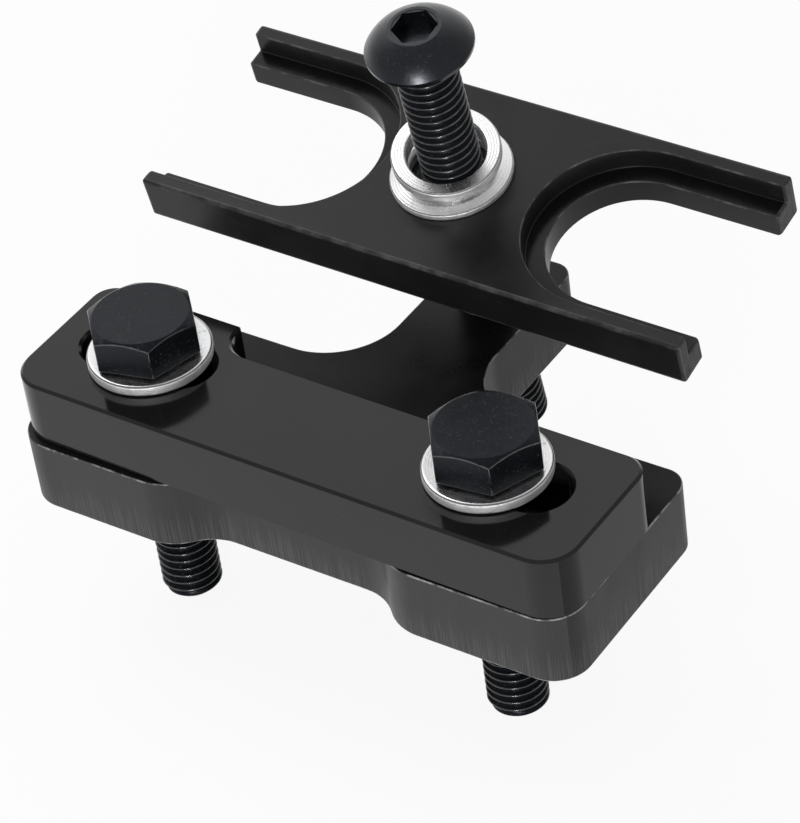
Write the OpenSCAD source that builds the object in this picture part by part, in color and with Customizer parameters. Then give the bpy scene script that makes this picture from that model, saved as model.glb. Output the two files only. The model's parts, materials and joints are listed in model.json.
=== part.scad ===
// Valve spring compressor: a base plate with a tongue, a slotted clamp bar bolted over it,
// and a twin-ended fork that a screw draws down through a self-aligning washer pair.
// Origin: midway between the two bolt axes, on the underside of the base plate.
// X runs along the bar, Y runs back along the tongue, Z is up along the bolts. Millimetres.

/* [Base plate] */
// Length of the base plate and of the clamp bar over it
plate_length = 82.6; // [78:0.2:90]
// How far the middle of the base plate lies to the right of the bolt pair
base_shift = 1.05; // [0:0.05:2]
// Bolt line to the front edge of the base plate
base_front = 12.2; // [11:0.1:14]
// Bolt line to the rear edge of the base plate
base_rear = 18.4; // [16:0.1:22]
// Thickness of the base plate and its tongue
base_thickness = 10; // [8:0.5:12]
// Corner radius at the front of the base plate
base_front_radius = 4.9; // [3:0.1:6]
// Corner radius at the rear of the base plate
base_rear_radius = 3.2; // [2:0.1:5]

/* [Waist in the front edge] */
// Depth of the recess in the front edge
waist_depth = 4.3; // [3:0.1:6]
// Length of the straight floor of the recess
waist_floor = 20; // [16:0.5:24]
// Radius of the two curves at each end of the recess
waist_radius = 7; // [5:0.5:8]

/* [Tongue] */
// Width of the tongue that carries the screw
tongue_width = 15; // [13:0.5:18]
// Bolt line to the end of the tongue
tongue_reach = 48.4; // [46:0.2:54]
// Corner radius at the end of the tongue
tongue_end_radius = 2.8; // [1:0.1:5]
// Radius of the inside corners where the tongue leaves the plate
tongue_root_radius = 10; // [6:0.5:12]
// Sideways place of the tongue and of the screw hole in it
tongue_x = 0.3; // [-1:0.1:1]

/* [Clamp bar] */
// How far the middle of the clamp bar lies to the right of the bolt pair
clamp_shift = 1.35; // [0:0.05:2]
// Bolt line to the front edge of the clamp bar
clamp_front = 11.75; // [11:0.05:14]
// Bolt line to the rear edge of the clamp bar
clamp_rear = 10; // [9.5:0.1:12]
// Thickness of the clamp bar
clamp_thickness = 9.3; // [7:0.1:12]
// Corner radius at the front of the clamp bar
clamp_front_radius = 4.9; // [3:0.1:6]
// Corner radius at the rear of the clamp bar
clamp_rear_radius = 3.4; // [1.5:0.1:5]
// Small turn of the bar on the base plate, as far as its slots let it sit askew
clamp_turn = -0.64; // [-0.7:0.01:0.7]
// Length of the notch in the rear edge
notch_length = 37; // [32:0.5:40]
// Depth of the notch in the rear edge
notch_depth = 5; // [4:0.1:5]
// Radius in the inside corners of the notch
notch_radius = 3.9; // [2:0.1:4]

/* [Slots] */
// End-to-end length of the bolt slots in both plates
slot_length = 19.4; // [16:0.2:22]
// End of a plate to the middle of its nearer slot
slot_inset = 14.85; // [14:0.05:16]
// How far the pair of slots lies to the right of the bolt pair
slot_shift = 0.65; // [0:0.05:1]
// Free space on each side of a bolt across its slot
slot_clearance = 0.5; // [0.45:0.05:1]

/* [Bolts and washers] */
// How far each bolt is set inwards of the middle of its slot, with both slots centred
bolt_inward = 0.95; // [0:0.05:2]
// Length of a bolt under its head
bolt_length = 40; // [35:1:50]
// Diameter of the plain shank of a bolt, from its head to the underside of the base plate
shank_diameter = 7.2; // [7:0.1:7.4]
// Width of a bolt head across its flats
head_flats = 13; // [12.5:0.1:13]
// Height of a bolt head
head_height = 5.3; // [4.5:0.1:6]
// Width of the flat circle on top of a bolt head
head_top_diameter = 12.4; // [11.5:0.1:12.4]
// Diameter of the bearing face under a bolt head
head_face_diameter = 11.6; // [11:0.1:12]
// Height of the bearing face under a bolt head
head_face_height = 0.4; // [0.2:0.1:0.8]
// Turn of the left bolt head
left_bolt_turn = 13.1; // [0:0.1:60]
// Turn of the right bolt head
right_bolt_turn = 6.7; // [0:0.1:60]
// Outside diameter of a flat washer
washer_diameter = 16.2; // [15.5:0.1:17]
// Thickness of a flat washer
washer_thickness = 1.6; // [1.2:0.1:2]
// Free space between a bolt and its washer
washer_clearance = 0.2; // [0.1:0.05:0.4]
// Small bevel on the rims of the flat washers
washer_bevel = 0.25; // [0.1:0.05:0.4]
// Sideways play taken up by the left washer on its bolt
left_washer_x = 0.4; // [0:0.05:0.45]
// Sideways play taken up by the right washer on its bolt
right_washer_x = 0.15; // [0:0.05:0.2]
// Play taken up by the right washer towards the front
right_washer_y = -0.4; // [-0.4:0.05:0]

/* [Threads of the bolts and the screw] */
// Thread diameter of the bolts and of the screw
thread_diameter = 8; // [7.9:0.05:8]
// Distance from one turn of the thread to the next
thread_pitch = 1.25; // [1.2:0.05:1.5]
// Depth of the groove between two turns
thread_depth = 0.7; // [0.5:0.05:0.75]
// Width of the flat on the crest of a turn
thread_crest = 0.16; // [0.1:0.02:0.2]
// Least plain length between the last turn and the end of the thread near the head
thread_runout = 0.5; // [0.4:0.1:1.5]
// Bevel on the ends of the bolts and of the screw
thread_end_bevel = 0.9; // [0.5:0.1:1.2]

/* [Screw] */
// Bolt line to the place where the screw axis leaves the top of the tongue
screw_reach = 38.4; // [37:0.1:39.5]
// Backward slant of the screw away from the bolts, in degrees
screw_tilt = 11.4; // [9:0.1:13]
// Sideways slant of the screw, in degrees
screw_lean = 1.5; // [0:0.1:2]
// Length of the screw under its head
screw_length = 70; // [66:1:80]
// Tongue top to the underside of the screw head, along the screw
screw_height = 46.3; // [44:0.1:50]
// Diameter of the domed screw head
dome_diameter = 13.8; // [13.5:0.1:14.5]
// Height of the domed screw head
dome_height = 3.6; // [3.4:0.1:4.6]
// Height of the straight rim below the dome
dome_rim = 0.5; // [0.3:0.1:0.8]
// Diameter of the flat on top of the dome
dome_flat = 6.8; // [6.8:0.1:7.4]
// Width of the key socket across its flats
socket_flats = 5.1; // [4.8:0.1:5.2]
// Depth of the key socket
socket_depth = 2.4; // [2:0.1:2.6]
// Bevel round the mouth of the key socket
socket_bevel = 0.1; // [0.1:0.05:0.4]
// Turn of the screw
screw_turn = 31; // [0:1:60]
// Free space between the screw and the threaded hole in the tongue
thread_clearance = 0.05; // [0.03:0.01:0.1]

/* [Fork] */
// Tongue top to the underside of the fork, along the screw
fork_height = 16.5; // [14:0.5:18]
// Length of the fork
fork_length = 79.4; // [76:0.2:84]
// Front-to-back width of the fork
fork_width = 30; // [29:0.5:34]
// Thickness of the fork
fork_thickness = 6.5; // [5:0.1:8]
// Turn of the fork about the screw, in degrees
fork_turn = 0.7; // [-3:0.1:3]
// How far the fork sits to the right on the screw, within the play of its hole
fork_shift = 0.5; // [0:0.1:0.6]
// Distance between the middles of the two U-shaped ends
yoke_spacing = 48; // [47:0.1:50]
// Radius of the U that goes right through
yoke_radius = 10.4; // [9:0.1:11]
// Radius of the wider U that is sunk into the top
ledge_radius = 13; // [12:0.1:13.5]
// Depth of the wider U below the top
ledge_depth = 3; // [2:0.1:3.5]
// Diameter of the hole for the screw in the fork
fork_hole = 10.8; // [10.6:0.1:11.4]

/* [Self-aligning washers] */
// Outside diameter of the lower washer, the seat
seat_diameter = 16; // [15.6:0.1:17]
// Height of the straight rim of the seat
seat_rim = 0.85; // [0.6:0.05:1.2]
// Diameter of the raised lip of the seat
seat_lip = 12; // [11.6:0.1:12.4]
// Height of the raised lip of the seat
seat_height = 1.75; // [1.4:0.05:1.75]
// Slope of the hollow inside the lip, in degrees
seat_slope = 30; // [20:1:35]
// Bore of the seat
seat_bore = 10.8; // [10.8:0.1:11.2]
// Sideways play taken up by the seat on the screw
seat_x = -0.65; // [-0.65:0.05:0.3]
// Play taken up by the seat towards the back
seat_y = 0.3; // [-0.3:0.05:0.3]
// Radius of the ball face under the upper washer
ball_radius = 12; // [12:0.5:14]
// Outside diameter of the upper washer, the ball washer
ball_diameter = 14.1; // [13.8:0.1:14.4]
// Height of the straight wall of the ball washer
ball_wall = 1.35; // [1:0.05:1.35]
// Bore of the ball washer
ball_bore = 10.2; // [10.2:0.1:10.6]
// Height of the ball washer's top above the fork, at its middle
ball_top = 4.6; // [4.6:0.1:5]
// Small bevel round the top of the ball washer
ball_bevel = 0.2; // [0.1:0.05:0.4]
// Sideways play taken up by the ball washer on the screw
ball_x = -0.57; // [-0.57:0.01:0]
// Play taken up by the ball washer towards the back
ball_y = 0.19; // [0:0.01:0.19]
// Forward tip of the loose ball washer in its seat, in degrees
ball_tip = 3.8; // [0:0.1:3.8]
// Sideways tip of the loose ball washer in its seat, in degrees
ball_roll = 7; // [0:0.1:7]

/* [Hidden] */
$fn = 96;

// How far a cutting shape runs past the face it opens
past = 1;

slot_spacing = plate_length - 2 * slot_inset;
bolt_spacing = slot_spacing - 2 * bolt_inward;
thread_radius = thread_diameter / 2;
thread_flank = thread_depth * tan(30);
// One turn of the thread: depth below the crest, height above the start of the turn
thread_turn = [
    [0, thread_crest],
    [thread_depth, thread_crest + thread_flank],
    [thread_depth, thread_pitch - thread_flank],
    [0, thread_pitch]
];
slot_radius = thread_radius + slot_clearance;
slot_run = slot_length / 2 - slot_radius;

clamp_base = base_thickness;
washer_base = clamp_base + clamp_thickness;
head_base = washer_base + washer_thickness;
head_corner = head_flats / 2 / cos(30);
head_bevel = (head_corner - head_top_diameter / 2) * tan(30);

// Sideways run of each S-curve between the recess floor and the front edge
waist_run = sqrt(4 * waist_radius * waist_depth - waist_depth * waist_depth);

fork_top = fork_height + fork_thickness;
socket_corner = socket_flats / 2 / cos(30);
// Sphere through the dome's rim and the edge of its flat
dome_edge = dome_diameter / 2;
dome_centre = (dome_flat * dome_flat / 4 + dome_height * dome_height - dome_edge * dome_edge
    - dome_rim * dome_rim) / (2 * (dome_height - dome_rim));
dome_sphere = sqrt(dome_edge * dome_edge + (dome_rim - dome_centre) * (dome_rim - dome_centre));

// Height of the hollow's lower edge, at the bore of the seat
seat_bore_height = seat_height - (seat_lip - seat_bore) / 2 * tan(seat_slope);
// Centre of the ball face above the washer's top, so that the ball meets the foot of the straight wall
ball_centre = sqrt(ball_radius * ball_radius - ball_diameter * ball_diameter / 4) - ball_wall;

// Places its children on the screw axis, with height zero at the top of the tongue
module on_screw_axis() {
    translate([tongue_x, screw_reach, base_thickness])
        rotate([screw_tilt, screw_lean, 0])
            children();
}

// Flat plate with rounded upright corners, one radius in front and one behind
module rounded_plate(left, right, front, rear, thick, front_radius, rear_radius) {
    translate([left + front_radius, front, 0])
        cube([right - left - 2 * front_radius, rear - front - rear_radius, thick]);
    translate([left + rear_radius, front + front_radius, 0])
        cube([right - left - 2 * rear_radius, rear - front - front_radius, thick]);
    translate([left, front + front_radius, 0])
        cube([right - left, rear - front - front_radius - rear_radius, thick]);
    for (x = [left + front_radius, right - front_radius])
        translate([x, front + front_radius, 0])
            cylinder(r = front_radius, h = thick);
    for (x = [left + rear_radius, right - rear_radius])
        translate([x, rear - rear_radius, 0])
            cylinder(r = rear_radius, h = thick);
}

// The two bolt slots, as one cutting shape through a plate of the given thickness
module bolt_slots(thick) {
    for (side = [-1, 1])
        translate([slot_shift + side * slot_spacing / 2, 0, -past]) {
            translate([-slot_run, -slot_radius, 0])
                cube([2 * slot_run, 2 * slot_radius, thick + 2 * past]);
            for (end = [-1, 1])
                translate([end * slot_run, 0, 0])
                    cylinder(r = slot_radius, h = thick + 2 * past);
        }
}

// The recess in the front edge: a straight floor with an S-curve at each end
module waist_cut() {
    floor_y = waist_depth - base_front;
    translate([tongue_x, 0, -past]) {
        translate([-waist_floor / 2, -base_front - past, 0])
            cube([waist_floor, waist_depth + past, base_thickness + 2 * past]);
        for (side = [0, 1])
            mirror([side, 0, 0]) {
                translate([waist_floor / 2, floor_y - waist_radius, 0])
                    cylinder(r = waist_radius, h = base_thickness + 2 * past);
                difference() {
                    translate([waist_floor / 2, -base_front - past, 0])
                        cube([waist_run, waist_depth / 2 + past, base_thickness + 2 * past]);
                    translate([waist_floor / 2 + waist_run, waist_radius - base_front, -past])
                        cylinder(r = waist_radius, h = base_thickness + 4 * past);
                }
            }
    }
}

// The tongue with its rounded end and hollow corners at the root
module tongue() {
    half = tongue_width / 2;
    translate([tongue_x, 0, 0]) {
        rounded_plate(-half, half, 0, tongue_reach, base_thickness, tongue_end_radius, tongue_end_radius);
        for (side = [0, 1])
            mirror([side, 0, 0])
                difference() {
                    translate([half - past, base_rear - past, 0])
                        cube([tongue_root_radius + past, tongue_root_radius + past, base_thickness]);
                    translate([half + tongue_root_radius, base_rear + tongue_root_radius, -past])
                        cylinder(r = tongue_root_radius, h = base_thickness + 2 * past);
                }
    }
}

module base_plate() {
    color("#2f3032")
        difference() {
            union() {
                rounded_plate(base_shift - plate_length / 2, base_shift + plate_length / 2,
                    -base_front, base_rear, base_thickness, base_front_radius, base_rear_radius);
                tongue();
            }
            waist_cut();
            bolt_slots(base_thickness);
            on_screw_axis()
                translate([0, 0, -2 * base_thickness])
                    cylinder(r = thread_radius + thread_clearance, h = 3 * base_thickness);
        }
}

module clamp_bar() {
    half = notch_length / 2;
    floor_y = clamp_rear - notch_depth;
    color("#26272a")
        translate([0, 0, clamp_base])
            rotate([0, 0, clamp_turn])
                difference() {
                    rounded_plate(clamp_shift - plate_length / 2, clamp_shift + plate_length / 2,
                        -clamp_front, clamp_rear, clamp_thickness, clamp_front_radius, clamp_rear_radius);
                    translate([tongue_x, 0, -past]) {
                        translate([notch_radius - half, floor_y, 0])
                            cube([notch_length - 2 * notch_radius, notch_depth + past, clamp_thickness + 2 * past]);
                        translate([-half, floor_y + notch_radius, 0])
                            cube([notch_length, notch_depth - notch_radius + past, clamp_thickness + 2 * past]);
                        for (side = [-1, 1])
                            translate([side * (half - notch_radius), floor_y + notch_radius, 0])
                                cylinder(r = notch_radius, h = clamp_thickness + 2 * past);
                    }
                    bolt_slots(clamp_thickness);
                }
}

// Flat washer with bevelled rims, set off the axis of one bolt
module flat_washer(side, x, y) {
    outer = washer_diameter / 2;
    inner = thread_radius + washer_clearance;
    color("#c9ccd0")
        translate([side * bolt_spacing / 2 + x, y, washer_base])
            rotate_extrude()
                polygon([
                    [inner, 0],
                    [outer - washer_bevel, 0],
                    [outer, washer_bevel],
                    [outer, washer_thickness - washer_bevel],
                    [outer - washer_bevel, washer_thickness],
                    [inner, washer_thickness]
                ]);
}

module left_washer() {
    flat_washer(-1, left_washer_x, 0);
}

module right_washer() {
    flat_washer(1, right_washer_x, right_washer_y);
}

// Threaded round on a bevelled end, its turns drawn as rings up to a plain run-out at the top
module threaded_round(length) {
    turns = floor((length - thread_end_bevel - thread_runout) / thread_pitch);
    rotate_extrude()
        polygon(concat(
            [[0, 0], [thread_radius - thread_end_bevel, 0], [thread_radius, thread_end_bevel]],
            [for (turn = [0 : turns - 1], point = thread_turn)
                [thread_radius - point.x, thread_end_bevel + turn * thread_pitch + point.y]],
            [[thread_radius, length], [0, length]]
        ));
}

// Six-sided bolt with a bevelled head, a round bearing face and a thread that starts below the base plate
module hex_bolt(side, turn) {
    color("#17181b")
        translate([side * bolt_spacing / 2, 0, head_base])
            rotate([0, 0, turn]) {
                cylinder(d = head_face_diameter, h = head_face_height);
                intersection() {
                    translate([0, 0, head_face_height])
                        cylinder(r = head_corner, h = head_height - head_face_height, $fn = 6);
                    rotate_extrude()
                        polygon([
                            [0, 0],
                            [head_corner, 0],
                            [head_corner, head_height - head_bevel],
                            [head_top_diameter / 2, head_height],
                            [0, head_height]
                        ]);
                }
                // The shank runs on into the plain run-out of the thread
                translate([0, 0, -head_base - thread_runout / 2])
                    cylinder(d = shank_diameter, h = head_base + thread_runout / 2);
                translate([0, 0, -bolt_length])
                    threaded_round(bolt_length - head_base);
            }
}

module left_bolt() {
    hex_bolt(-1, left_bolt_turn);
}

module right_bolt() {
    hex_bolt(1, right_bolt_turn);
}

module fork_plate() {
    color("#2b2b2c")
        on_screw_axis()
            rotate([0, 0, fork_turn])
                translate([fork_shift, 0, fork_height])
                    difference() {
                        translate([-fork_length / 2, -fork_width / 2, 0])
                            cube([fork_length, fork_width, fork_thickness]);
                        translate([0, 0, -past])
                            cylinder(d = fork_hole, h = fork_thickness + 2 * past);
                        for (side = [0, 1])
                            mirror([side, 0, 0])
                                translate([yoke_spacing / 2, 0, 0]) {
                                    translate([0, 0, -past])
                                        cylinder(r = yoke_radius, h = fork_thickness + 2 * past);
                                    translate([0, -yoke_radius, -past])
                                        cube([fork_length, 2 * yoke_radius, fork_thickness + 2 * past]);
                                    translate([0, 0, fork_thickness - ledge_depth])
                                        cylinder(r = ledge_radius, h = ledge_depth + past);
                                    translate([0, -ledge_radius, fork_thickness - ledge_depth])
                                        cube([fork_length, 2 * ledge_radius, ledge_depth + past]);
                                }
                    }
}

module seat_washer() {
    color("#c4c7cb")
        on_screw_axis()
            translate([seat_x, seat_y, fork_top])
                rotate_extrude()
                    polygon([
                        [seat_bore / 2, 0],
                        [seat_diameter / 2, 0],
                        [seat_diameter / 2, seat_rim],
                        [seat_lip / 2, seat_height],
                        [seat_bore / 2, seat_bore_height]
                    ]);
}

module ball_washer() {
    outer = ball_diameter / 2;
    inner = ball_bore / 2;
    color("#d2d4d7")
        on_screw_axis()
            translate([ball_x, ball_y, fork_top + ball_top])
                rotate([ball_tip, ball_roll, 0])
                    intersection() {
                        translate([0, 0, ball_centre])
                            sphere(r = ball_radius);
                        rotate_extrude()
                            polygon([
                                [inner, -ball_radius / 2],
                                [outer, -ball_radius / 2],
                                [outer, -ball_bevel],
                                [outer - ball_bevel, 0],
                                [inner + ball_bevel, 0],
                                [inner, -ball_bevel]
                            ]);
                    }
}

module forcing_screw() {
    color("#141518")
        on_screw_axis()
            translate([0, 0, screw_height])
                rotate([0, 0, screw_turn]) {
                    difference() {
                        intersection() {
                            translate([0, 0, dome_centre])
                                sphere(r = dome_sphere);
                            cylinder(r = dome_edge, h = dome_height);
                        }
                        translate([0, 0, dome_height - socket_depth])
                            cylinder(r = socket_corner, h = socket_depth + past, $fn = 6);
                        translate([0, 0, dome_height - socket_bevel])
                            cylinder(r1 = socket_corner - socket_bevel, r2 = socket_corner + socket_bevel,
                                h = 2 * socket_bevel);
                    }
                    translate([0, 0, -screw_length])
                        threaded_round(screw_length);
                }
}

base_plate();
clamp_bar();
left_washer();
right_washer();
left_bolt();
right_bolt();
fork_plate();
seat_washer();
ball_washer();
forcing_screw();
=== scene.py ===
import json
import math

import bmesh
import bpy
from mathutils import Euler, Matrix, Vector


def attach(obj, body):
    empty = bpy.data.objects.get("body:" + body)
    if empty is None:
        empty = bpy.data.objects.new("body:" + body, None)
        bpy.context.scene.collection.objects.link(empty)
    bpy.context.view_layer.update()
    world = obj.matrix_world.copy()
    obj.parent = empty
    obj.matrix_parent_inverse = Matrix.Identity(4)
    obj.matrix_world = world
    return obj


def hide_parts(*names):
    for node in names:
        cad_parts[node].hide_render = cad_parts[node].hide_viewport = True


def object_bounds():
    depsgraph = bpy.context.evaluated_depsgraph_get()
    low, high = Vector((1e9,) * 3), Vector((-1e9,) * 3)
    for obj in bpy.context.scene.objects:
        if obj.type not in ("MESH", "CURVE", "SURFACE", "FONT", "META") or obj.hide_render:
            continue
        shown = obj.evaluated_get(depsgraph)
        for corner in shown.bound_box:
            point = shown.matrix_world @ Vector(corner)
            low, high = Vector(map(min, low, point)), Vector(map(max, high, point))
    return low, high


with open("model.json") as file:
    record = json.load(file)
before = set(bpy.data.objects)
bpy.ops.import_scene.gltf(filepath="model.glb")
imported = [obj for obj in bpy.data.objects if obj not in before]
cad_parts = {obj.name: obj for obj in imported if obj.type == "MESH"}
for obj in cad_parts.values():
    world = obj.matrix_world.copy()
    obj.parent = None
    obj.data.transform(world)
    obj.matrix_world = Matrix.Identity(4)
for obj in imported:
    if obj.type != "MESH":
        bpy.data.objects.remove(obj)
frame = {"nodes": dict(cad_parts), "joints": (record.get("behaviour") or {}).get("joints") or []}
cad_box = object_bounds()
nodes = frame["nodes"]
joints = {j["name"]: j for j in frame["joints"]}
scene = bpy.context.scene
MM = 0.001
MICRON = 0.000001

# The screw's axis and the fork's own axes, as the frame's joints give them
SCREW_FOOT = Vector(joints["screw_turn"]["pos_m"])
SCREW_UP = Vector(joints["fork_travel"]["axis"]).normalized()
FORK_BACK = Vector(joints["fork_rock"]["axis"]).normalized()
FORK_RIGHT = FORK_BACK.cross(SCREW_UP).normalized()
# Turns a vector into the fork's own axes
TO_FORK = Matrix((FORK_RIGHT, FORK_BACK, SCREW_UP))
SCREW_PLACE = Matrix.Translation(SCREW_FOOT) @ TO_FORK.transposed().to_4x4()


def span(node, place):
    """Lowest and highest corner of a node in the axes of the place."""
    to_place = place.inverted()
    points = [to_place @ v.co for v in nodes[node].data.vertices]
    return [Vector(pick(p[i] for p in points) for i in range(3)) for pick in (min, max)]


# The fork's middle, half its length and the height of its top, in its own axes
fork_low, fork_high = span("fork_plate", SCREW_PLACE)
FORK_MIDDLE = (fork_low.x + fork_high.x) / 2
FORK_HALF = (fork_high.x - fork_low.x) / 2
FORK_TOP = fork_high.z

# Specular level of each finish
PLATE_SHINE = 0.16
PLATE_SIDE_SHINE = 0.36
BAR_SHINE = 0.35
BAR_END_SHINE = 0.16
FORK_SHINE = 0.22
FORK_SIDE_SHINE = 0.18
BOLT_SHINE = 0.22
SCREW_SHINE = 0.30
THREAD_SHINE = 0.12
RUBBED_SHINE = 0.8
# Extra green of a bluish grey, as a share of its extra blue
GREEN_SHARE = 0.3
# Black oxide mirrors blue a little more than red
OXIDE_SHEEN = (0.80, 0.86, 1.0, 1.0)
# Weight and roughness of the oil film, on the screw's head and on rubbed oxide
SCREW_OIL = 0.35
OIL_ROUGHNESS = 0.22
RUBBED_OIL = 0.8
RUBBED_OIL_ROUGHNESS = 0.10
# Wave scale that puts the turning marks of a washer about 0.35 mm apart
RING_SCALE = 900.0
# How strongly those marks show on the flat and on the self-aligning washers
FLAT_RINGS = 0.05
ALIGNING_RINGS = 0.16

# Widths of the rounded or chamfered edges
PLATE_EDGE = 0.16 * MM
BAR_EDGE = 0.36 * MM
FORK_EDGE = 0.16 * MM
FORK_TIP_EDGE = 0.5 * MM
FASTENER_EDGE = 0.11 * MM
FLAT_WASHER_EDGE = 0.16 * MM
SEAT_WASHER_EDGE = 0.22 * MM
BALL_WASHER_EDGE = 0.13 * MM
# Fullness of a rounded edge, where 0.5 is a circle
EDGE_PROFILE = 0.6
# How worn the fork's tips look, where its other edges have 1
FORK_TIP_WEAR = 0.6
# Corners of the fork within this distance of its ends are on its tips
TIP_SLACK = 0.01 * MM

# Degrees by which an edge has to bend to be broken: as a rule, and where shallow bevels stay as they are
SHARP_ANGLE = 25
CLEAR_ANGLE = 40
# Degrees by which an edge has to bend to be shaded crisp, on the bar and on the heads
BAR_CRISP_ANGLE = 30
HEAD_CRISP_ANGLE = 20
# Faces that bend by less than this many degrees are one flat face
FLAT_ANGLE = 0.5
# Points closer than this are one point, on the CAD meshes and on a thread
WELD = 2e-6
THREAD_WELD = 1e-7
# Edges shorter than this are dropped, and heights may be this far off when they are compared
TOUCH = 1e-6

# A face has its piece's second finish if its direction has more than this along Y on the plate,
# more than this along X on the bar, or less than this along the screw on the fork
LONG_SIDE = 0.6
CUT_END = 0.8
UPRIGHT = 0.5

# One pitch of the thread, from crest to crest: share of the pitch, radius in millimetres
PITCH = 1.25 * MM
THREAD_PROFILE = ((0.0, 3.85), (0.05, 3.96), (0.1, 3.995), (0.15, 3.96), (0.2, 3.85),
                  (0.46, 3.30), (0.6, 3.235), (0.74, 3.30))
# The first faces of the profile make its rounded crest, which is rubbed
CREST_FACES = 4
THREAD_STEPS = 72
THREAD_RADIUS = 4.0 * MM
# Spare turns that shrink to one ring at the ends of a thread, and how many of them lie below it
SPARE_TURNS = 4
TURNS_BELOW = 1.5
# Radius at both ends of a thread, and the lengths over which it narrows to that
END_RADIUS = 3.1 * MM
POINT_TAPER = 0.9 * MM
HEAD_TAPER = 0.3 * MM
# How far the thread runs on into the base plate on a bolt, and into the head on the screw
THREAD_IN_PLATE = 0.25 * MM
THREAD_IN_HEAD = 0.4 * MM
# A bolt's plain shank stays inside this radius, and only the screw's head reaches past the next
SHANK_REACH = 3.75 * MM
HEAD_REACH = 4.6 * MM
# No edge nearer to the axis than this is rounded: the socket keeps its own small bevel
SOCKET_REACH = 3.3 * MM
# The finishes of a bolt or screw, in the order of its material slots
HEAD, RUBBED, OILED = range(3)

# Places of a Mix node's two colour inputs and of its colour output
COLOUR_A, COLOUR_B, COLOUR_OUT = 6, 7, 2


# Materials

class Paint:
    """A node material with one principled shader, and short ways to add nodes to it."""

    def __init__(self, name, **constants):
        self.material = bpy.data.materials.new(name)
        self.material.use_nodes = True
        self.tree = self.material.node_tree
        self.shader = self.tree.nodes["Principled BSDF"]
        for key, value in constants.items():
            self.shader.inputs[key.replace("_", " ")].default_value = value

    def add(self, kind, inputs=None, **props):
        node = self.tree.nodes.new("ShaderNode" + kind)
        for key, value in props.items():
            setattr(node, key, value)
        for key, value in (inputs or {}).items():
            self.put(node.inputs[key], value)
        return node

    def put(self, socket, value):
        if isinstance(value, bpy.types.NodeSocket):
            self.tree.links.new(value, socket)
        else:
            socket.default_value = value

    def math(self, operation, a, b=0.0):
        return self.add("Math", {0: a, 1: b}, operation=operation).outputs[0]

    def size(self, value):
        """The value without its sign."""
        return self.math("ABSOLUTE", value)

    def times(self, a, b):
        return self.math("MULTIPLY", a, b)

    def plus(self, a, b):
        return self.math("ADD", a, b)

    def minus(self, a, b):
        return self.math("SUBTRACT", a, b)

    def ramp(self, value, low, high, to_low=0.0, to_high=1.0):
        """A smooth step: to_low where the value is low or less, to_high where it is high or more."""
        inputs = {"Value": value, "From Min": low, "From Max": high, "To Min": to_low, "To Max": to_high}
        return self.add("MapRange", inputs, interpolation_type="SMOOTHSTEP").outputs["Result"]

    def mix(self, share, a, b):
        node = self.add("Mix", {"Factor": share}, data_type="RGBA")
        for place, colour in ((COLOUR_A, a), (COLOUR_B, b)):
            linked = isinstance(colour, bpy.types.NodeSocket)
            self.put(node.inputs[place], colour if linked else (*colour, 1.0))
        return node.outputs[COLOUR_OUT]

    def place(self, turn=None, centre=None):
        """Object coordinates in metres, or the same seen in other axes about a centre."""
        coords = self.add("TexCoord").outputs["Object"]
        if turn is None:
            return coords
        inputs = {"Vector": coords, "Rotation": turn.to_euler("XYZ"), "Location": -(turn @ centre)}
        return self.add("Mapping", inputs, vector_type="POINT").outputs["Vector"]

    def facing(self, turn=None):
        """The surface's own direction, in object axes or in other ones."""
        normal = self.add("TexCoord").outputs["Normal"]
        if turn is None:
            return normal
        inputs = {"Vector": normal, "Rotation": turn.to_euler("XYZ")}
        return self.add("Mapping", inputs, vector_type="VECTOR").outputs["Vector"]

    def parts(self, vector):
        return self.add("SeparateXYZ", {0: vector}).outputs

    def noise(self, coords, size, detail=2.0, rough=0.5, stretch=(1, 1, 1)):
        """Noise whose blotches are about this many metres across, made longer by the stretch."""
        inputs = {"Vector": coords, "Scale": [1 / size / s for s in stretch]}
        scaled = self.add("Mapping", inputs, vector_type="POINT").outputs["Vector"]
        inputs = {"Vector": scaled, "Scale": 1.0, "Detail": detail, "Roughness": rough}
        return self.add("TexNoise", inputs).outputs["Fac"]

    def edge(self):
        """The wear that the mesh code put on broken edges, and 0 elsewhere."""
        return self.add("Attribute", attribute_name="edge").outputs["Fac"]

    def bumps(self, *layers):
        """Stacks bump layers of (height, metres, strength) onto the shader."""
        normal = None
        for height, distance, strength in layers:
            node = self.add("Bump", {"Height": height, "Distance": distance, "Strength": strength})
            if normal is not None:
                self.put(node.inputs["Normal"], normal)
            normal = node.outputs["Normal"]
        self.put(self.shader.inputs["Normal"], normal)

    def colour(self, value):
        self.put(self.shader.inputs["Base Color"], value)

    def roughness(self, value):
        self.put(self.shader.inputs["Roughness"], value)


def grey(level, blue=0.0):
    """A grey of this level, or a bluish one that has this share more blue than red."""
    return (level, level * (1 + blue * GREEN_SHARE), level * (1 + blue))


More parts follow.
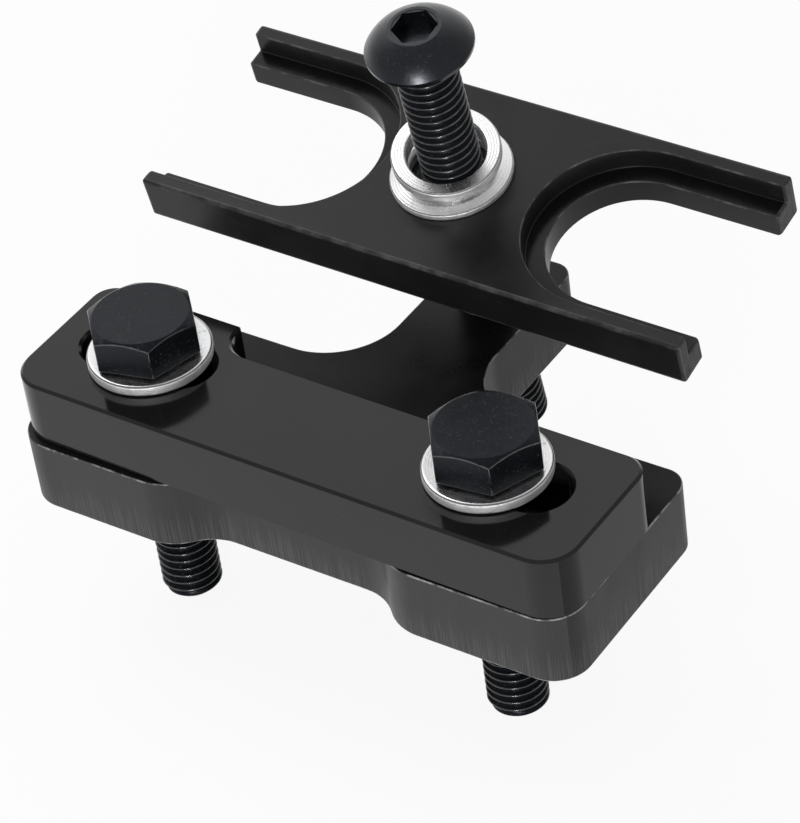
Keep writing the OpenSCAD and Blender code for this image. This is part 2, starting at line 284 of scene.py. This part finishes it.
def plate_paint(name, shine):
    """Satin black plate: upright cutting marks low on its sides, and a bright worn line along its edges."""
    p = Paint(name, Specular_IOR_Level=shine)
    at = p.place()
    side = p.ramp(p.size(p.parts(p.facing())["Z"]), 0.35, 0.8, to_low=1.0, to_high=0.0)
    clouds = p.noise(at, 9 * MM, detail=4.0, rough=0.6)
    grain = p.noise(at, 0.18 * MM, detail=3.0, rough=0.7)
    flecks = p.ramp(p.noise(at, 0.6 * MM, detail=3.0, rough=0.65), 0.62, 0.74)
    # The marks fade out at an uneven height above the lower edge
    uneven = p.noise(at, 0.7 * MM, detail=3.0, rough=0.6, stretch=(1, 1, 60))
    height = p.plus(p.parts(at)["Z"], p.ramp(uneven, 0.3, 0.7, to_low=-1.5 * MM, to_high=1.5 * MM))
    low_part = p.ramp(height, 0.8 * MM, 5.2 * MM, to_low=1.0, to_high=0.10)
    marks = p.ramp(p.noise(at, 0.16 * MM, detail=0.0, stretch=(1, 1, 400)), 0.36, 0.64)
    cut = p.times(p.times(marks, low_part), side)
    body = p.mix(clouds, grey(0.006), grey(0.011))
    body = p.mix(side, body, p.mix(clouds, grey(0.015), grey(0.024)))
    body = p.mix(cut, body, grey(0.044))
    body = p.mix(p.times(flecks, 0.22), body, grey(0.06))
    bare = p.ramp(p.noise(at, 1.6 * MM, detail=4.0, rough=0.65), 0.40, 0.64, to_low=0.12, to_high=1.0)
    p.colour(p.mix(p.times(p.edge(), bare), body, grey(0.30)))
    gloss = p.ramp(clouds, 0.3, 0.7, to_low=0.24, to_high=0.34)
    p.roughness(p.plus(gloss, p.times(side, 0.12)))
    p.bumps((cut, 50 * MICRON, 0.5), (grain, 20 * MICRON, 0.2))
    return p.material


def bar_paint(name, shine):
    """Smooth glossy black bar: soft clouds in the gloss, fine grinding lines along it and a few specks."""
    p = Paint(name, Specular_IOR_Level=shine)
    at = p.place()
    clouds = p.noise(at, 14 * MM, detail=4.0, rough=0.55)
    lines = p.noise(at, 0.22 * MM, stretch=(60, 1, 1))
    specks = p.ramp(p.noise(at, 0.5 * MM), 0.70, 0.78)
    body = p.mix(clouds, grey(0.006), grey(0.0105))
    body = p.mix(p.times(specks, 0.3), body, grey(0.05))
    bare = p.ramp(p.noise(at, 1.2 * MM, detail=5.0, rough=0.7), 0.66, 0.78, to_high=0.6)
    p.colour(p.mix(p.times(p.edge(), bare), body, grey(0.09)))
    gloss = p.ramp(clouds, 0.3, 0.7, to_low=0.08, to_high=0.13)
    p.roughness(p.plus(gloss, p.times(lines, 0.04)))
    p.bumps((lines, 8 * MICRON, 0.12), (clouds, 150 * MICRON, 0.05))
    return p.material


def fork_paint(name, shine):
    """Satin black fork: mottled faces, glossy recessed ledges with painted shade, light worn edges and
    rough sawn tips.
    """
    p = Paint(name, Specular_IOR_Level=shine)
    at = p.place(TO_FORK, SCREW_FOOT)
    where = p.parts(at)
    facing = p.parts(p.facing(TO_FORK))
    from_middle = p.size(p.minus(where["X"], FORK_MIDDLE))
    at_end = p.ramp(from_middle, FORK_HALF - 0.4 * MM, FORK_HALF - 0.1 * MM)
    tip = p.times(at_end, p.ramp(p.size(facing["X"]), 0.5, 0.85))
    # The ledges lie 3 mm below the top
    below = p.ramp(where["Z"], FORK_TOP - 3.1 * MM, FORK_TOP - 2.7 * MM, to_low=1.0, to_high=0.0)
    ledge_shade_and_gloss = p.times(below, p.ramp(facing["Z"], 0.5, 0.9))
    clouds = p.noise(at, 6 * MM, detail=5.0, rough=0.65)
    grain = p.noise(at, 0.18 * MM, detail=3.0, rough=0.7)
    rub = p.ramp(p.noise(at, 2.8 * MM, detail=6.0, rough=0.7, stretch=(2.2, 1, 1)), 0.56, 0.70)
    saw = p.noise(at, 0.35 * MM, detail=3.0, rough=0.6, stretch=(1, 1, 9))
    body = p.mix(clouds, grey(0.0055), grey(0.0105))
    body = p.mix(p.times(rub, 0.25), body, grey(0.026))
    # Painted shade: the recessed ledges are painted near black
    body = p.mix(p.times(ledge_shade_and_gloss, 0.75), body, grey(0.003))
    body = p.mix(tip, body, p.mix(p.ramp(saw, 0.3, 0.7), grey(0.018), grey(0.060)))
    bare = p.ramp(p.noise(at, 2.8 * MM, detail=4.0, rough=0.6), 0.40, 0.70, to_low=0.12, to_high=0.65)
    p.colour(p.mix(p.times(p.edge(), bare), body, grey(0.13)))
    gloss = p.plus(p.ramp(clouds, 0.3, 0.7, to_low=0.28, to_high=0.38), p.times(tip, 0.22))
    p.roughness(p.minus(gloss, p.times(ledge_shade_and_gloss, 0.16)))
    p.bumps((p.times(saw, tip), 180 * MICRON, 0.8), (grain, 20 * MICRON, 0.25), (rub, 20 * MICRON, 0.12))
    return p.material


def oxide_paint(name, shine, oil=0.0):
    """Black oxide on bolts and screw: bluish black, with an oily gloss, rubbed patches and specks."""
    p = Paint(name, Specular_IOR_Level=shine, Specular_Tint=OXIDE_SHEEN,
              Coat_Weight=oil, Coat_Roughness=OIL_ROUGHNESS)
    at = p.place()
    clouds = p.noise(at, 3.5 * MM, detail=5.0, rough=0.65)
    grain = p.noise(at, 0.22 * MM, detail=4.0, rough=0.7)
    rub = p.ramp(p.noise(at, 1.2 * MM, detail=5.0, rough=0.7), 0.60, 0.74)
    specks = p.ramp(p.noise(at, 0.4 * MM, detail=3.0, rough=0.7), 0.60, 0.74)
    body = p.mix(clouds, grey(0.0022, blue=0.45), grey(0.0055, blue=0.40))
    body = p.mix(p.times(rub, 0.25), body, grey(0.034, blue=0.12))
    p.colour(p.mix(p.times(specks, 0.45), body, grey(0.062, blue=0.15)))
    p.roughness(p.ramp(clouds, 0.25, 0.75, to_low=0.18, to_high=0.27))
    p.bumps((grain, 50 * MICRON, 0.6), (rub, 30 * MICRON, 0.4), (specks, 30 * MICRON, 0.5))
    return p.material


def rubbed_paint():
    """The oxide where it is rubbed smooth, on thread crests and head edges: shinier, with grey patches."""
    p = Paint("rubbed_oxide", Specular_IOR_Level=RUBBED_SHINE,
              Coat_Weight=RUBBED_OIL, Coat_Roughness=RUBBED_OIL_ROUGHNESS)
    at = p.place()
    patches = p.noise(at, 0.9 * MM, detail=5.0, rough=0.75)
    grain = p.noise(at, 0.2 * MM, detail=3.0, rough=0.7)
    p.colour(p.mix(p.ramp(patches, 0.44, 0.72), grey(0.004, blue=0.30), grey(0.045, blue=0.05)))
    p.roughness(p.ramp(patches, 0.3, 0.7, to_low=0.12, to_high=0.22))
    p.bumps((grain, 20 * MICRON, 0.3))
    return p.material


def zinc_paint(name, turn, centre, ring_depth):
    """Bright zinc on a washer: turning marks round its axis, a duller rim, a painted dark reflection on the
    bevelled corners, and pits.
    """
    p = Paint(name, Metallic=1.0)
    at = p.place(turn, centre)
    up = p.size(p.parts(p.facing(turn))["Z"])
    rim = p.ramp(up, 0.25, 0.75, to_low=1.0, to_high=0.0)
    # Faces that lean half up, on the bevels between top and rim: a dark reflection is painted there
    corner = p.times(p.ramp(up, 0.45, 0.6), p.ramp(up, 0.75, 0.9, to_low=1.0, to_high=0.0))
    wave = {"Vector": at, "Scale": RING_SCALE, "Distortion": 0.6, "Detail": 2.0, "Detail Scale": 1.5}
    rings = p.add("TexWave", wave, wave_type="RINGS", rings_direction="Z").outputs["Fac"]
    clouds = p.noise(at, 2.2 * MM, detail=5.0, rough=0.65)
    grain = p.noise(at, 0.13 * MM, detail=3.0, rough=0.7)
    pits = p.ramp(p.noise(at, 0.45 * MM, detail=3.0, rough=0.6), 0.62, 0.72)
    rim_grain = p.times(p.noise(at, 0.3 * MM, detail=3.0, rough=0.7), rim)
    body = p.mix(clouds, (0.78, 0.785, 0.79), (0.92, 0.92, 0.92))
    body = p.mix(p.times(pits, 0.5), body, (0.34, 0.34, 0.35))
    # Painted dark reflection: the bevels are painted near black
    body = p.mix(p.times(corner, 0.8), body, (0.10, 0.10, 0.105))
    p.colour(p.mix(p.times(rings, ring_depth), body, (0.50, 0.505, 0.51)))
    dull = p.plus(p.times(pits, 0.2), p.times(rim, 0.26))
    p.roughness(p.plus(p.ramp(clouds, 0.25, 0.75, to_low=0.20, to_high=0.32), dull))
    p.bumps((rings, 20 * MICRON, 2 * ring_depth), (grain, 15 * MICRON, 0.35),
            (pits, 20 * MICRON, 0.25), (rim_grain, 120 * MICRON, 0.9))
    return p.material


# Meshes

def mesh_piece(name, bm, body, replaces, materials):
    """A finished mesh object that rides on a body and stands for a CAD node."""
    mesh = bpy.data.meshes.new(name)
    bm.normal_update()
    bm.to_mesh(mesh)
    bm.free()
    for face in mesh.polygons:
        face.use_smooth = True
    for material in materials:
        mesh.materials.append(material)
    obj = bpy.data.objects.new(name, mesh)
    scene.collection.objects.link(obj)
    weighted = obj.modifiers.new("face_weighted_normals", "WEIGHTED_NORMAL")
    weighted.weight = 100
    weighted.keep_sharp = True
    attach(obj, body)
    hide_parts(replaces)


def node_bmesh(node):
    """A welded copy of a CAD node's mesh, with each flat face in one piece."""
    bm = bmesh.new()
    bm.from_mesh(nodes[node].data)
    bmesh.ops.remove_doubles(bm, verts=bm.verts[:], dist=WELD)
    bmesh.ops.dissolve_degenerate(bm, edges=bm.edges[:], dist=TOUCH)
    bmesh.ops.dissolve_limit(bm, angle_limit=math.radians(FLAT_ANGLE), verts=bm.verts[:], edges=bm.edges[:])
    return bm


def break_edges(bm, width, steps=2, least=SHARP_ANGLE, wear=1.0, only=None):
    """Rounds or chamfers the sharp edges by this width, and puts wear on the new faces that stand out."""
    mark = bm.faces.layers.float.get("edge") or bm.faces.layers.float.new("edge")
    bm.normal_update()
    shared = [e for e in bm.edges if len(e.link_faces) == 2]
    sharp = [e for e in shared if e.calc_face_angle() > math.radians(least)]
    if only:
        sharp = [e for e in sharp if all(only(v.co) for v in e.verts)]
    made = bmesh.ops.bevel(bm, geom=sharp, offset=width, offset_type="OFFSET", segments=steps,
                           profile=EDGE_PROFILE, affect="EDGES", clamp_overlap=False)
    bm.normal_update()
    for face in made["faces"]:
        if sum(e.calc_face_angle_signed(0.0) for e in face.edges) > 0:
            face[mark] = wear


def sharpen(bm, least):
    """Keeps the shading crisp across edges that bend by at least this many degrees."""
    for edge in bm.edges:
        edge.smooth = edge.calc_face_angle(0.0) < math.radians(least)


def close_holes(bm):
    """Closes each open ring with one face."""
    rim = [e for e in bm.edges if len(e.link_faces) == 1]
    if rim:
        bmesh.ops.holes_fill(bm, edges=rim, sides=0)
    bmesh.ops.recalc_face_normals(bm, faces=bm.faces[:])


def second_finish(bm, wanted):
    """Gives the faces with a wanted direction the second material, and the others the first."""
    for face in bm.faces:
        face.material_index = int(wanted(face.normal))


def add_thread(bm, place, low, high):
    """A right-hand thread from low to high along the Z axis of the place, open at both ends."""
    per = len(THREAD_PROFILE)
    rows = per * (int((high - low) / PITCH) + SPARE_TURNS)

    def point(step, row):
        share, radius = THREAD_PROFILE[row % per]
        z = low + (row // per - TURNS_BELOW + share + step / THREAD_STEPS) * PITCH
        z = min(max(z, low), high)
        room = min((z - low) / POINT_TAPER, (high - z) / HEAD_TAPER, 1.0)
        r = min(radius * MM, END_RADIUS + room * (THREAD_RADIUS - END_RADIUS))
        turn = 2 * math.pi * step / THREAD_STEPS
        return place @ Vector((r * math.cos(turn), r * math.sin(turn), z))

    columns = [[bm.verts.new(point(s, r)) for r in range(rows)] for s in range(THREAD_STEPS)]
    for s, here in enumerate(columns):
        last = s == THREAD_STEPS - 1
        # The last column meets the first one a turn further on
        beside = columns[0][per:] if last else columns[s + 1]
        for r in range(min(len(here), len(beside)) - 1):
            face = bm.faces.new((here[r], beside[r], beside[r + 1], here[r + 1]))
            face.material_index = RUBBED if r % per < CREST_FACES else OILED
    made = [v for column in columns for v in column]
    bmesh.ops.remove_doubles(bm, verts=made, dist=THREAD_WELD)
    loose = [v for v in bm.verts if not v.link_faces]
    bmesh.ops.delete(bm, geom=loose, context="VERTS")


def fastener(node, place, keep, thread_low, thread_high, head_paint):
    """A bolt or screw: the faces of the CAD node to keep, with broken edges, and a helical thread."""
    bm = node_bmesh(node)
    to_axis = place.inverted()
    gone = [f for f in bm.faces if not all(keep(to_axis @ v.co) for v in f.verts)]
    bmesh.ops.delete(bm, geom=gone, context="FACES")
    close_holes(bm)
    break_edges(bm, FASTENER_EDGE, least=CLEAR_ANGLE,
                only=lambda point: math.hypot(*(to_axis @ point).xy) > SOCKET_REACH)
    wear = bm.faces.layers.float["edge"]
    for face in bm.faces:
        face.material_index = RUBBED if face[wear] > 0 else HEAD
    sharpen(bm, HEAD_CRISP_ANGLE)
    add_thread(bm, place, thread_low, thread_high)
    close_holes(bm)
    mesh_piece(node + "_threaded", bm, node, node, [head_paint, rubbed, oiled])


def washer(node, place, rounding, ring_depth):
    """A washer with rounded rims, in zinc whose turning marks run round its own middle."""
    low, high = span(node, place)
    middle = place @ ((low + high) / 2)
    zinc = zinc_paint(node + "_zinc", place.to_3x3().transposed(), middle, ring_depth)
    bm = node_bmesh(node)
    break_edges(bm, rounding, steps=3)
    mesh_piece(node + "_rounded", bm, node, node, [zinc])


def at_fork_tip(point):
    """True on the sawn faces at both ends of the fork."""
    return abs((point - SCREW_FOOT) @ FORK_RIGHT - FORK_MIDDLE) > FORK_HALF - TIP_SLACK


# Pieces

bm = node_bmesh("base_plate")
break_edges(bm, PLATE_EDGE)
# The long sides are a little shinier than the rest
second_finish(bm, lambda normal: abs(normal.y) > LONG_SIDE)
mesh_piece("base_plate_finished", bm, "base", "base_plate",
           [plate_paint("black_plate", PLATE_SHINE), plate_paint("black_plate_sides", PLATE_SIDE_SHINE)])

bm = node_bmesh("clamp_bar")
break_edges(bm, BAR_EDGE, steps=1)
sharpen(bm, BAR_CRISP_ANGLE)
# The cut ends are a little duller than the rest
second_finish(bm, lambda normal: abs(normal.x) > CUT_END)
mesh_piece("clamp_bar_finished", bm, "base", "clamp_bar",
           [bar_paint("black_bar", BAR_SHINE), bar_paint("black_bar_ends", BAR_END_SHINE)])

bm = node_bmesh("fork_plate")
break_edges(bm, FORK_TIP_EDGE, steps=3, wear=FORK_TIP_WEAR, only=at_fork_tip)
break_edges(bm, FORK_EDGE, least=CLEAR_ANGLE)
# The sides are a little duller than the top
second_finish(bm, lambda normal: abs(normal @ SCREW_UP) < UPRIGHT)
mesh_piece("fork_plate_finished", bm, "fork_plate", "fork_plate",
           [fork_paint("black_fork", FORK_SHINE), fork_paint("black_fork_sides", FORK_SIDE_SHINE)])

bolt_oxide = oxide_paint("bolt_oxide", BOLT_SHINE)
screw_oxide = oxide_paint("screw_oxide", SCREW_SHINE, oil=SCREW_OIL)
oiled = oxide_paint("oiled_oxide", THREAD_SHINE)
rubbed = rubbed_paint()

for side in ("left", "right"):
    bolt = side + "_bolt"
    under_head = Vector(joints[bolt + "_turn"]["pos_m"])
    place = Matrix.Translation((under_head.x, under_head.y, 0))

    def shank_or_head(point, head=under_head.z):
        """True on the plain shank above the base plate's underside, and on the head."""
        on_shank = math.hypot(point.x, point.y) < SHANK_REACH
        return point.z > -TOUCH and (on_shank or point.z > head - TOUCH)

    bolt_low = span(bolt, place)[0]
    fastener(bolt, place, shank_or_head, bolt_low.z, THREAD_IN_PLATE, bolt_oxide)
    washer(side + "_washer", Matrix.Identity(4), FLAT_WASHER_EDGE, FLAT_RINGS)

to_screw = SCREW_PLACE.inverted()
screw_points = [to_screw @ v.co for v in nodes["forcing_screw"].data.vertices]
screw_head = min(p.z for p in screw_points if math.hypot(*p.xy) > HEAD_REACH)
screw_low = span("forcing_screw", SCREW_PLACE)[0]
fastener("forcing_screw", SCREW_PLACE, lambda point: point.z > screw_head - TOUCH,
         screw_low.z, screw_head + THREAD_IN_HEAD, screw_oxide)

washer("seat_washer", SCREW_PLACE, SEAT_WASHER_EDGE, ALIGNING_RINGS)
washer("ball_washer", SCREW_PLACE, BALL_WASHER_EDGE, ALIGNING_RINGS)


# Stage

# Half the floor's width in metres, and how far below the part it lies
FLOOR_REACH = 12.0
FLOOR_GAP = 0.1 * MM
FLOOR_COLOUR = (0.9, 0.9, 0.9, 1)
# Share of plain white that the camera and reflections see on the floor: the rest shows the shadow
WHITE_SHARE = 0.90
# The studio is brightest up behind the left of the part, and even elsewhere
BRIGHT_SIDE = Vector((-0.53, 0.62, 0.58)).normalized()
BRIGHT_RAMP = {"From Min": 0.40, "From Max": 0.97, "To Min": 0.45, "To Max": 1.05}
# The softboxes face this point
LIT_POINT = Vector((0, 0.02, 0.02))
# Camera fitted to the photograph: its place, its turns about X, Y and Z in degrees, and its optics
CAMERA_PLACE = Vector((0.231854, -0.275726, 0.309286))
CAMERA_TURNS = (50.6462, 6.5548, 33.0532)
CAMERA_LENS = 164.143
CAMERA_SENSOR = 36
CAMERA_NEAR = 0.01
CAMERA_FAR = 20


def square(name, reach, z):
    """A flat square about the origin, at height z."""
    bm = bmesh.new()
    corners = ((-1, -1), (1, -1), (1, 1), (-1, 1))
    bm.faces.new([bm.verts.new((x * reach, y * reach, z)) for x, y in corners])
    mesh = bpy.data.meshes.new(name)
    bm.to_mesh(mesh)
    bm.free()
    obj = bpy.data.objects.new(name, mesh)
    scene.collection.objects.link(obj)
    return obj


def seen_ray(tree):
    """1 for what the camera sees, straight or in a shiny or clear surface."""
    path = tree.nodes.new("ShaderNodeLightPath")
    total = path.outputs["Is Camera Ray"]
    for other in ("Is Glossy Ray", "Is Transmission Ray"):
        add = tree.nodes.new("ShaderNodeMath")
        add.operation = "ADD"
        add.use_clamp = True
        tree.links.new(total, add.inputs[0])
        tree.links.new(path.outputs[other], add.inputs[1])
        total = add.outputs[0]
    return total


def floor_paint():
    """Pale matte floor that looks white to the camera and in reflections, and keeps the shadow."""
    material = bpy.data.materials.new("pale_floor")
    material.use_nodes = True
    tree = material.node_tree
    tree.nodes.clear()
    matte = tree.nodes.new("ShaderNodeBsdfDiffuse")
    matte.inputs["Color"].default_value = FLOOR_COLOUR
    glow = tree.nodes.new("ShaderNodeEmission")
    glow.inputs["Strength"].default_value = 1.0
    share = tree.nodes.new("ShaderNodeMath")
    share.operation = "MULTIPLY"
    share.inputs[1].default_value = WHITE_SHARE
    tree.links.new(seen_ray(tree), share.inputs[0])
    both = tree.nodes.new("ShaderNodeMixShader")
    tree.links.new(share.outputs[0], both.inputs[0])
    tree.links.new(matte.outputs[0], both.inputs[1])
    tree.links.new(glow.outputs[0], both.inputs[2])
    out = tree.nodes.new("ShaderNodeOutputMaterial")
    tree.links.new(both.outputs[0], out.inputs["Surface"])
    return material


def studio_world():
    """Soft white light from all round, brightest at the bright side."""
    world = bpy.data.worlds.new("studio")
    world.use_nodes = True
    tree = world.node_tree
    tree.nodes.clear()
    where = tree.nodes.new("ShaderNodeTexCoord")
    along = tree.nodes.new("ShaderNodeVectorMath")
    along.operation = "DOT_PRODUCT"
    along.inputs[1].default_value = BRIGHT_SIDE
    tree.links.new(where.outputs["Generated"], along.inputs[0])
    level = tree.nodes.new("ShaderNodeMapRange")
    level.interpolation_type = "SMOOTHSTEP"
    for key, value in BRIGHT_RAMP.items():
        level.inputs[key].default_value = value
    tree.links.new(along.outputs["Value"], level.inputs["Value"])
    sky = tree.nodes.new("ShaderNodeBackground")
    sky.inputs["Color"].default_value = (1, 1, 1, 1)
    tree.links.new(level.outputs["Result"], sky.inputs["Strength"])
    out = tree.nodes.new("ShaderNodeOutputWorld")
    tree.links.new(sky.outputs[0], out.inputs["Surface"])
    return world


def softbox(name, at, size, watts):
    """A rectangular lamp that faces the part."""
    light = bpy.data.lights.new(name, "AREA")
    light.shape = "RECTANGLE"
    light.size, light.size_y = size
    light.energy = watts
    obj = bpy.data.objects.new(name, light)
    scene.collection.objects.link(obj)
    obj.location = at
    obj.rotation_euler = (LIT_POINT - Vector(at)).to_track_quat("-Z", "Y").to_euler()


floor = square("floor", FLOOR_REACH, cad_box[0].z - FLOOR_GAP)
floor.data.materials.append(floor_paint())
scene.world = studio_world()
softbox("key_softbox", at=(-0.55, 0.10, 0.80), size=(0.5, 0.5), watts=1.7)
softbox("front_softbox", at=(0.34, -0.79, 0.25), size=(0.22, 0.14), watts=4.5)

camera = bpy.data.objects.new("camera", bpy.data.cameras.new("camera"))
scene.collection.objects.link(camera)
camera_turn = Euler([math.radians(turn) for turn in CAMERA_TURNS])
camera.matrix_world = Matrix.LocRotScale(CAMERA_PLACE, camera_turn, None)
camera.data.sensor_width = CAMERA_SENSOR
camera.data.lens = CAMERA_LENS
camera.data.clip_start = CAMERA_NEAR
camera.data.clip_end = CAMERA_FAR
scene.camera = camera
scene.view_settings.view_transform = "Standard"
